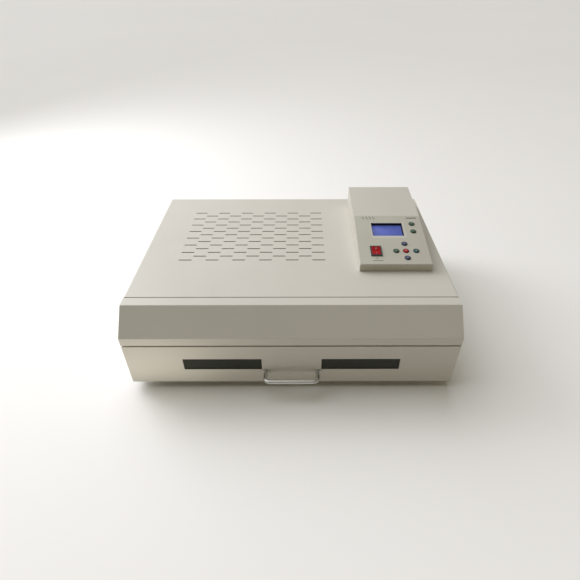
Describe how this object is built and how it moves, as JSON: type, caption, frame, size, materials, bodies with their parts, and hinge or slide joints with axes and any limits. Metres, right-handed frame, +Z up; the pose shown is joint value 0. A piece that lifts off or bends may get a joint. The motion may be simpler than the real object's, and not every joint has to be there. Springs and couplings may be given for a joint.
{
  "type": "reflow oven",
  "caption": "Wide infrared reflow oven with a slotted flat top, a folded hood over a sliding front drawer with two dark windows, and a wedge-shaped control box on top.",
  "frame": {"origin": "on the surface that the feet stand on, under the middle of the overall length and depth, handle and exhaust collar included", "axes": "+Z up, +X to the right when facing the drawer, -Y towards the person who opens the drawer"},
  "size_m": [0.7, 0.584, 0.2551],
  "materials": {
    "body_paint": "textured semi-gloss powder coat",
    "overlay": "printed film, satin",
    "galvanised": "zinc coated sheet",
    "reflector": "bright rolled sheet",
    "insulation": "needled ceramic fibre",
    "quartz": "frosted quartz with white ceramic ends",
    "steel": "plated steel",
    "rubber": "moulded, matt",
    "black_plastic": "moulded, fine texture",
    "window": "dark heat-resistant glass",
    "circuit_board": "solder mask",
    "display": "backlit display glass",
    "red": "gloss moulding",
    "blue": "gloss moulding",
    "green": "gloss moulding",
    "teal": "gloss moulding"
  },
  "bodies": {
    "oven_body": {"base_tray": "galvanised", "chamber_ceiling": "reflector", "chamber_left_wall": "reflector", "chamber_rear_wall": "reflector", "chamber_right_wall": "reflector", "control_board": "circuit_board", "control_box_cover": "body_paint", "cooling_fan_frame": "black_plastic", "exhaust_collar": "galvanised", "exhaust_duct": "galvanised", "exhaust_fan_frame": "black_plastic", "foot_front_left": "rubber", "foot_front_right": "rubber", "foot_rear_left": "rubber", "foot_rear_right": "rubber", "front_hood": "body_paint", "heater_rack_left": "galvanised", "heater_rack_right": "galvanised", "heater_tube_1": "quartz", "heater_tube_2": "quartz", "heater_tube_3": "quartz", "heater_tube_4": "quartz", "heater_tube_5": "quartz", "heater_tube_6": "quartz", "insulation_blanket": "insulation", "lcd_bezel": "black_plastic", "lcd_glass": "display", "panel_overlay": "overlay", "power_board": "circuit_board", "power_inlet": "black_plastic", "rear_panel": "body_paint", "relay_heatsink": "steel", "slide_outer_left": "galvanised", "slide_outer_right": "galvanised", "solid_state_relay": "black_plastic", "switch_housing": "black_plastic", "thermocouple_probe": "steel", "top_cover": "body_paint", "transformer": "steel"},
    "drawer": {"drawer_front": "body_paint", "window_glass_left": "window", "window_glass_right": "window", "drawer_handle": "steel", "drawer_box": "galvanised", "drawer_inner_face": "galvanised", "wire_rack": "steel", "slide_inner_left": "galvanised", "slide_inner_right": "galvanised"},
    "slide_left": {"slide_middle_left": "steel"},
    "slide_right": {"slide_middle_right": "steel"},
    "power_rocker": {"switch_rocker": "red"},
    "exhaust_impeller": {"exhaust_fan_rotor": "black_plastic"},
    "cooling_impeller": {"cooling_fan_rotor": "black_plastic"},
    "key_up": {"button_up": "blue"},
    "key_left": {"button_left": "green"},
    "key_enter": {"button_enter": "red"},
    "key_right": {"button_right": "teal"},
    "key_down": {"button_down": "blue"},
    "key_heat": {"button_heat": "green"},
    "key_fan": {"button_fan": "green"}
  },
  "joints": [
    {"name": "drawer_slide", "type": "slide", "parent": "oven_body", "child": "drawer", "axis": [0, -1, 0], "range_m": [0, 0.38]},
    {"name": "left_rail_slide", "type": "slide", "parent": "oven_body", "child": "slide_left", "axis": [0, -1, 0], "range_m": [0, 0.19]},
    {"name": "right_rail_slide", "type": "slide", "parent": "oven_body", "child": "slide_right", "axis": [0, -1, 0], "range_m": [0, 0.19]},
    {"name": "rocker_turn", "type": "hinge", "parent": "oven_body", "child": "power_rocker", "pos_m": [0.1926, -0.05066, 0.22117], "axis": [-1, 0, 0], "range_deg": [0, 18]},
    {"name": "exhaust_fan_spin", "type": "hinge", "parent": "oven_body", "child": "exhaust_impeller", "pos_m": [-0.16, 0.2463, 0.112], "axis": [0, 1, 0], "continuous": true},
    {"name": "cooling_fan_spin", "type": "hinge", "parent": "oven_body", "child": "cooling_impeller", "pos_m": [0.17, 0.2463, 0.11], "axis": [0, 1, 0], "continuous": true},
    {"name": "press_up", "type": "slide", "parent": "oven_body", "child": "key_up", "axis": [0, 0.1738, -0.9848], "range_m": [0, 0.0005], "stiffness_N_per_m": 500},
    {"name": "press_left", "type": "slide", "parent": "oven_body", "child": "key_left", "axis": [0, 0.1738, -0.9848], "range_m": [0, 0.0005], "stiffness_N_per_m": 500},
    {"name": "press_enter", "type": "slide", "parent": "oven_body", "child": "key_enter", "axis": [0, 0.1738, -0.9848], "range_m": [0, 0.0005], "stiffness_N_per_m": 500},
    {"name": "press_right", "type": "slide", "parent": "oven_body", "child": "key_right", "axis": [0, 0.1738, -0.9848], "range_m": [0, 0.0005], "stiffness_N_per_m": 500},
    {"name": "press_down", "type": "slide", "parent": "oven_body", "child": "key_down", "axis": [0, 0.1738, -0.9848], "range_m": [0, 0.0005], "stiffness_N_per_m": 500},
    {"name": "press_heat", "type": "slide", "parent": "oven_body", "child": "key_heat", "axis": [0, 0.1738, -0.9848], "range_m": [0, 0.0005], "stiffness_N_per_m": 500},
    {"name": "press_fan", "type": "slide", "parent": "oven_body", "child": "key_fan", "axis": [0, 0.1738, -0.9848], "range_m": [0, 0.0005], "stiffness_N_per_m": 500}
  ],
  "couplings": [
    {"joint": "left_rail_slide", "follows": "drawer_slide", "ratio": 0.5},
    {"joint": "right_rail_slide", "follows": "drawer_slide", "ratio": 0.5}
  ]
}
